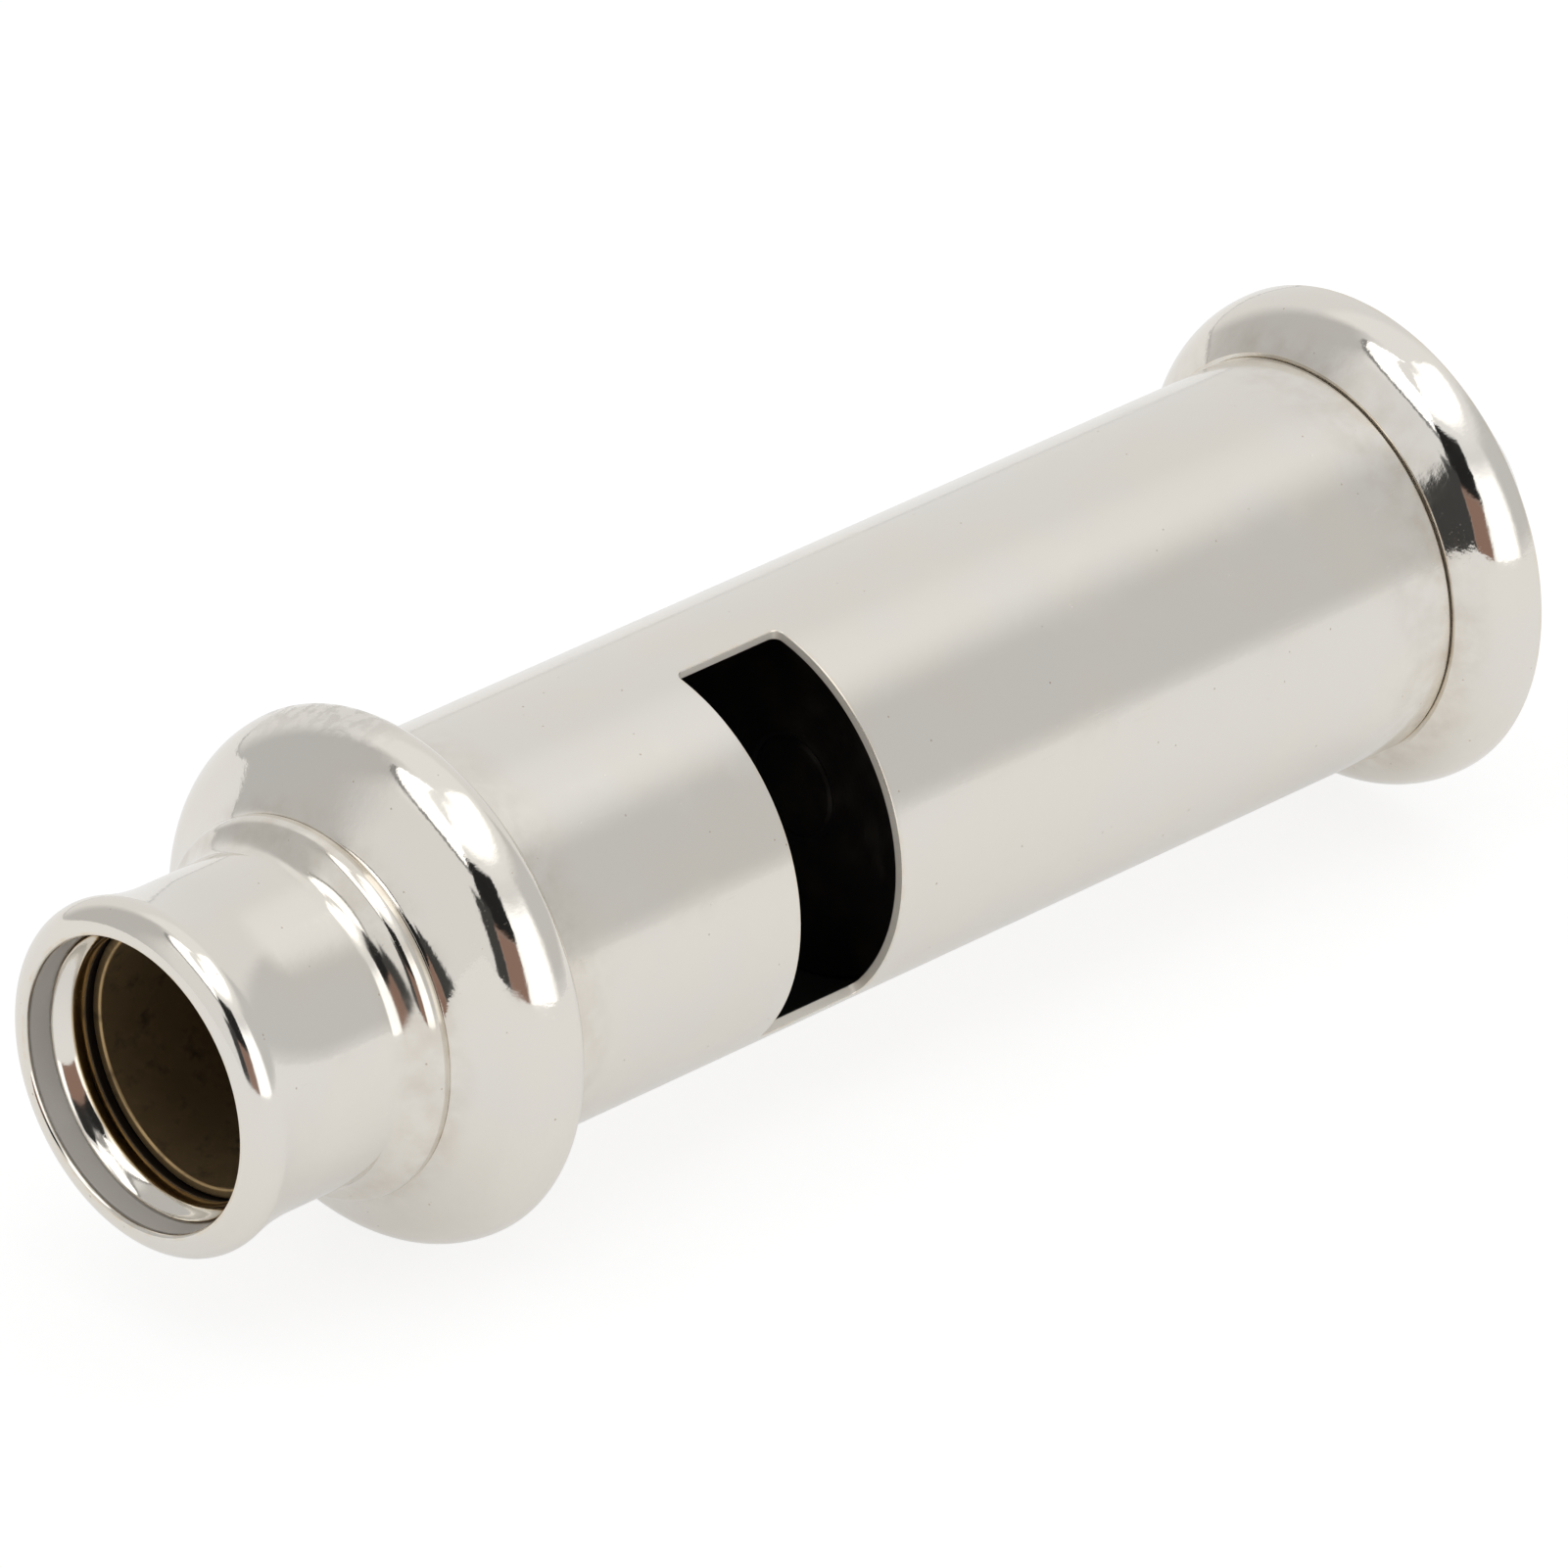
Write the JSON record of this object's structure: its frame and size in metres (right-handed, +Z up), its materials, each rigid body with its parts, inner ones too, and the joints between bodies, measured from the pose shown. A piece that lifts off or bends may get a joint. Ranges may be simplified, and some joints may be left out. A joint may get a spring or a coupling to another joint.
{
  "type": "ultrasonic whistle",
  "caption": "Nickelled tube whistle with a lipped mouth, round collar, cut sound window and a domed screw cap that tunes its chamber.",
  "frame": {"origin": "on the surface that the whistle lies on, under the middle of its length", "axes": "+X along the whistle from the mouth to the cap, +Z up, the sound window on the -Y side and a little upwards"},
  "size_m": [0.0822, 0.0246, 0.0246],
  "materials": {
    "nickel_plate": "polished nickel plate, lightly scuffed",
    "nickel_tube": "satin nickel plate with fine scratches",
    "tarnished_brass": "unplated brass, darkened inside",
    "brass": "turned",
    "solder": "dull, brown at its edges",
    "steel": "turned",
    "ebonite": "black hard rubber, turned",
    "leather": "greased"
  },
  "bodies": {
    "whistle": {"mouthpiece_shell": "nickel_plate", "mouth_liner": "tarnished_brass", "collar": "nickel_plate", "collar_solder_ring": "solder", "body_tube": "nickel_tube", "wind_plug": "tarnished_brass", "guide_bush": "brass"},
    "piston": {"piston_face": "ebonite", "piston_packing": "leather", "piston_swivel_plate": "brass"},
    "tuning_cap": {"tuning_screw": "steel", "screw_stop_collar": "brass", "cap_sleeve": "nickel_tube", "cap_web": "brass", "screw_lock_nut": "brass", "cap_ring": "nickel_plate", "cap_dome": "nickel_plate"}
  },
  "joints": [
    {"name": "piston_travel", "type": "slide", "parent": "whistle", "child": "piston", "axis": [1, 0, 0], "range_m": [0, 0.003]},
    {"name": "cap_turn", "type": "hinge", "parent": "piston", "child": "tuning_cap", "pos_m": [0.0335, 0, 0.01228], "axis": [1, 0, 0], "range_deg": [0, 1512]}
  ],
  "couplings": [
    {"joint": "cap_turn", "follows": "piston_travel", "rad_per_m": 8377.5}
  ]
}
